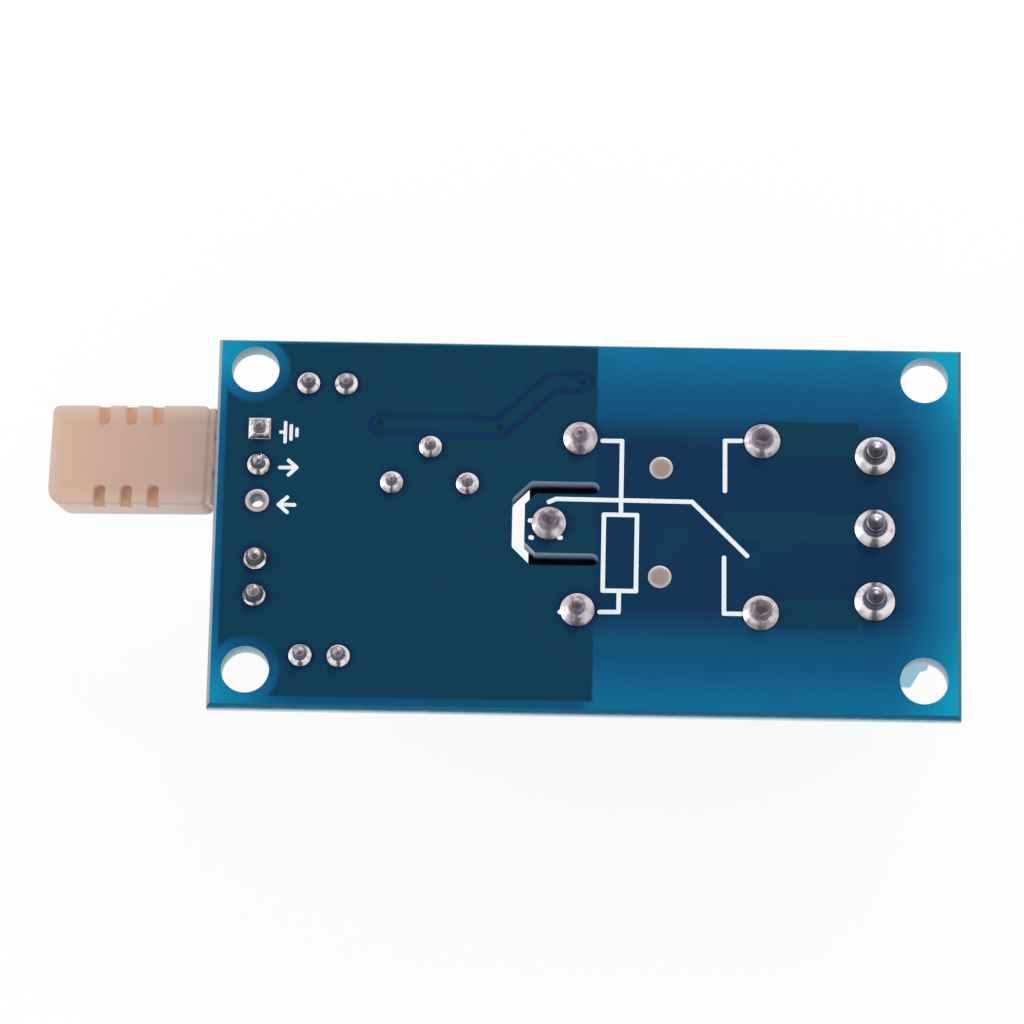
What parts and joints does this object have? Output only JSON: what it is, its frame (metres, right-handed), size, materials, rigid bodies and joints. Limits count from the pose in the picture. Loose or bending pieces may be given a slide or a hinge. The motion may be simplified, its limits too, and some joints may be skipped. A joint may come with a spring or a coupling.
{
  "type": "temperature switch relay module",
  "caption": "Small circuit module seen from its solder side: a drilled board with a relay, screw terminals, a trimmer, lamps and a vented sensor on bent leads at one end.",
  "frame": {"origin": "centre of the four mounting holes on the solder face", "axes": "+X along the board from the sensor end to the screw terminals, +Y across it, +Z out of the solder face; the module lies on its relay, towards -Z"},
  "size_m": [0.0615, 0.0258, 0.0184],
  "materials": {
    "board": "glossy solder mask over a glass-fibre laminate",
    "tin": "tinned copper",
    "relay_case": "moulded, fine texture",
    "relay_base": "moulded",
    "steel": "plated sheet steel",
    "white_plastic": "moulded",
    "copper": "enamelled copper wire",
    "contact_metal": "tinned copper alloy",
    "terminal_case": "moulded, satin",
    "trimmer_case": "moulded, satin",
    "ceramic": "fired, matt",
    "carbon_film": "printed film",
    "black_plastic": "moulded",
    "sensor_case": "moulded, matt",
    "red_lens": "clear tinted",
    "green_lens": "clear tinted",
    "capacitor_ceramic": "fired, matt",
    "solder": "bright solder"
  },
  "bodies": {
    "module": {"capacitor_bodies": "capacitor_ceramic", "capacitor_ends": "tin", "chip_body": "black_plastic", "chip_leads": "tin", "circuit_board": "board", "diode_body": "black_plastic", "diode_leads": "tin", "header_block": "black_plastic", "header_pins": "contact_metal", "lamp_leads_lower": "tin", "lamp_leads_upper": "tin", "lamp_lens_lower": "green_lens", "lamp_lens_upper": "red_lens", "pads": "tin", "relay_base": "relay_base", "relay_bobbin": "white_plastic", "relay_closed_terminal": "contact_metal", "relay_coil_pins": "contact_metal", "relay_common_terminal": "contact_metal", "relay_core": "steel", "relay_cover": "relay_case", "relay_open_terminal": "contact_metal", "relay_winding": "copper", "relay_yoke": "steel", "resistor_bodies": "black_plastic", "resistor_ends": "tin", "sensor_cap": "sensor_case", "sensor_case": "sensor_case", "sensor_element": "ceramic", "sensor_leads": "tin", "solder_header": "solder", "solder_lamps": "solder", "solder_relay": "solder", "solder_sensor": "solder", "solder_terminals": "solder", "solder_trimmer": "solder", "terminal_housing": "terminal_case", "terminal_strips": "contact_metal", "transistor_body": "black_plastic", "transistor_leads": "tin", "trimmer_base": "ceramic", "trimmer_body": "trimmer_case", "trimmer_pins": "contact_metal", "trimmer_track": "carbon_film"},
    "armature": {"relay_armature": "steel", "relay_contact_blade": "contact_metal"},
    "rotor": {"trimmer_rotor": "white_plastic", "trimmer_wiper": "contact_metal"},
    "screw_1": {"terminal_screw_1": "steel"},
    "clamp_1": {"terminal_clamp_1": "contact_metal"},
    "screw_2": {"terminal_screw_2": "steel"},
    "clamp_2": {"terminal_clamp_2": "contact_metal"},
    "screw_3": {"terminal_screw_3": "steel"},
    "clamp_3": {"terminal_clamp_3": "contact_metal"}
  },
  "joints": [
    {"name": "armature_pull_in", "type": "hinge", "parent": "module", "child": "armature", "pos_m": [-0.00155, 0, -0.01293], "axis": [0, -1, 0], "range_deg": [0, 3], "stiffness_Nm_per_rad": 0.02, "springref_deg": -4.01},
    {"name": "trimmer_turn", "type": "hinge", "parent": "module", "child": "rotor", "pos_m": [-0.01059, 0.00395, -0.0065], "axis": [0, 0, 1], "range_deg": [-130, 130]},
    {"name": "screw_1_turn", "type": "hinge", "parent": "module", "child": "screw_1", "pos_m": [0.01921, 0.00508, -0.00985], "axis": [0, 0, 1], "range_deg": [0, 2080]},
    {"name": "clamp_1_rise", "type": "slide", "parent": "module", "child": "clamp_1", "axis": [0, 0, -1], "range_m": [0, 0.0026]},
    {"name": "screw_2_turn", "type": "hinge", "parent": "module", "child": "screw_2", "pos_m": [0.01921, 0, -0.00985], "axis": [0, 0, 1], "range_deg": [0, 2080]},
    {"name": "clamp_2_rise", "type": "slide", "parent": "module", "child": "clamp_2", "axis": [0, 0, -1], "range_m": [0, 0.0026]},
    {"name": "screw_3_turn", "type": "hinge", "parent": "module", "child": "screw_3", "pos_m": [0.01921, -0.00508, -0.00985], "axis": [0, 0, 1], "range_deg": [0, 2080]},
    {"name": "clamp_3_rise", "type": "slide", "parent": "module", "child": "clamp_3", "axis": [0, 0, -1], "range_m": [0, 0.0026]}
  ],
  "couplings": [
    {"joint": "screw_1_turn", "follows": "clamp_1_rise", "rad_per_m": 13963},
    {"joint": "screw_2_turn", "follows": "clamp_2_rise", "rad_per_m": 13963},
    {"joint": "screw_3_turn", "follows": "clamp_3_rise", "rad_per_m": 13963}
  ]
}
